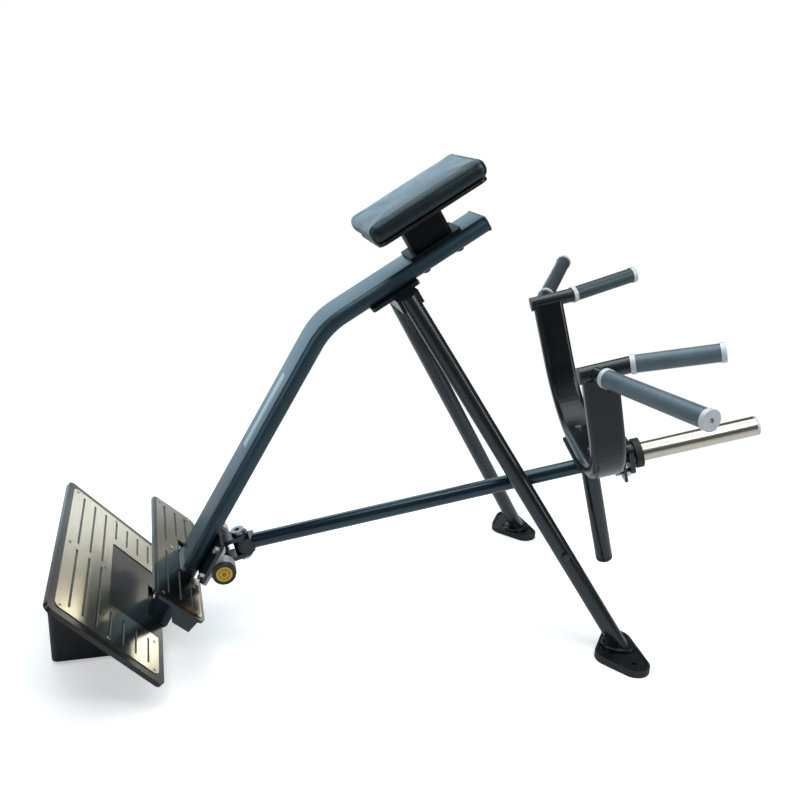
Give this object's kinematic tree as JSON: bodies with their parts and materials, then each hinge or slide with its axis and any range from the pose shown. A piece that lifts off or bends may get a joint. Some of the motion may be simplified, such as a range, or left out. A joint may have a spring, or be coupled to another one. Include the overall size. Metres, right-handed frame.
{
  "type": "t-bar row machine",
  "caption": "Black chest-supported t-bar row machine with steel foot steps, a swinging lever with a chrome weight horn, and four rubber grips",
  "frame": {"origin": "on the floor, midway between the outer anchor holes of the two rear feet", "axes": "X: from the foot steps towards the weight horn; Y: across the machine, away from the side that the lever rests on; Z: up"},
  "size_m": [1.7872, 1.3014, 1.2539],
  "materials": {
    "powder_black": "satin",
    "powder_step": "satin",
    "plate_grey": "satin",
    "tread_steel": "brushed",
    "bolt_steel": "satin",
    "pin_steel": "satin",
    "horn_chrome": "polished",
    "collar_alloy": "satin",
    "housing_cast": "cast",
    "bush_brass": "satin",
    "rubber_black": "matte",
    "grip_rubber": "matte",
    "cap_plastic": "matte",
    "disc_yellow": "gloss",
    "tube_cap": "matte",
    "pad_leather": "grained"
  },
  "bodies": {
    "frame": {"base_box": "powder_black", "base_runners": "rubber_black", "lower_step_plate": "powder_step", "lower_step_tread": "tread_steel", "upper_step_plate": "powder_step", "upper_step_tread": "tread_steel", "tread_screws": "bolt_steel", "step_cross_tubes": "powder_black", "spine": "powder_black", "spine_cap": "tube_cap", "bearing_plate": "plate_grey", "near_bearing_housing": "housing_cast", "far_bearing_housing": "housing_cast", "bearings": "pin_steel", "bearing_caps": "cap_plastic", "cap_discs": "disc_yellow", "bearing_bolts": "bolt_steel", "leg_saddle": "powder_black", "saddle_bolts": "bolt_steel", "near_leg": "powder_black", "far_leg": "powder_black", "near_foot": "powder_black", "far_foot": "powder_black", "near_foot_pad": "rubber_black", "far_foot_pad": "rubber_black", "lever_hook": "powder_black", "hook_liner": "rubber_black", "hook_bolt": "bolt_steel", "pad_post": "powder_black", "post_bolts": "bolt_steel", "pad_board": "powder_black", "chest_pad": "pad_leather", "pad_screws": "bolt_steel"},
    "hub": {"lever_axle": "pin_steel", "hub_clevis": "powder_black", "swing_pin": "pin_steel", "swing_nut": "bolt_steel"},
    "lever": {"lever_head": "powder_black", "pin_bush": "bush_brass", "lever_tube": "powder_black", "yoke_cradle": "plate_grey", "yoke": "powder_black", "yoke_bolts": "bolt_steel", "strut": "powder_black", "strut_tip": "rubber_black", "horn_flange": "plate_grey", "horn_bolt": "bolt_steel", "stop_ring": "rubber_black", "weight_horn": "horn_chrome", "horn_cap": "horn_chrome", "near_crossbar": "powder_black", "far_crossbar": "powder_black", "crossbar_caps": "tube_cap", "near_grip": "grip_rubber", "far_grip": "grip_rubber", "near_wide_grip": "grip_rubber", "far_wide_grip": "grip_rubber", "grip_collars": "collar_alloy", "grip_end_caps": "collar_alloy"}
  },
  "joints": [
    {"name": "lever_lift", "type": "hinge", "parent": "frame", "child": "hub", "pos_m": [-1.028, 0, 0.217], "axis": [0, -1, 0], "range_deg": [0, 28]},
    {"name": "lever_swing", "type": "hinge", "parent": "hub", "child": "lever", "pos_m": [-0.97155, 0, 0.23415], "axis": [-0.2907, 0, 0.9568], "range_deg": [0, 13.4]}
  ],
  "couplings": [
    {"joint": "lever_swing", "follows": "lever_lift", "ratio": 0.47857}
  ]
}
